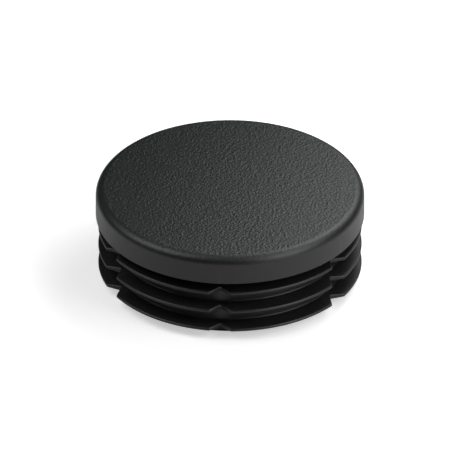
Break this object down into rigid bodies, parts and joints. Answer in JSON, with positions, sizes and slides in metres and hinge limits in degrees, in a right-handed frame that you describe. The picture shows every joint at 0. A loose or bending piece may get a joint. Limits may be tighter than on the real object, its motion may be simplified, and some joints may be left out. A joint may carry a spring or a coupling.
{
  "type": "lamella plug",
  "caption": "Round black plastic plug for a tube end: a flat grained head with a rounded edge over a hollow core whose thin notched lamellae grip the inside of the tube.",
  "frame": {"origin": "centre of the core's open end, the lowest point of the plug", "axes": "+Z along the plug's axis towards the head; -Y through the middle of one notch of each lamella"},
  "size_m": [0.045, 0.045, 0.0165],
  "materials": {
    "black_polyethylene": "satin moulded plastic with a finely grained top"
  },
  "bodies": {
    "root": {"lamella_plug": "black_polyethylene"}
  },
  "joints": []
}
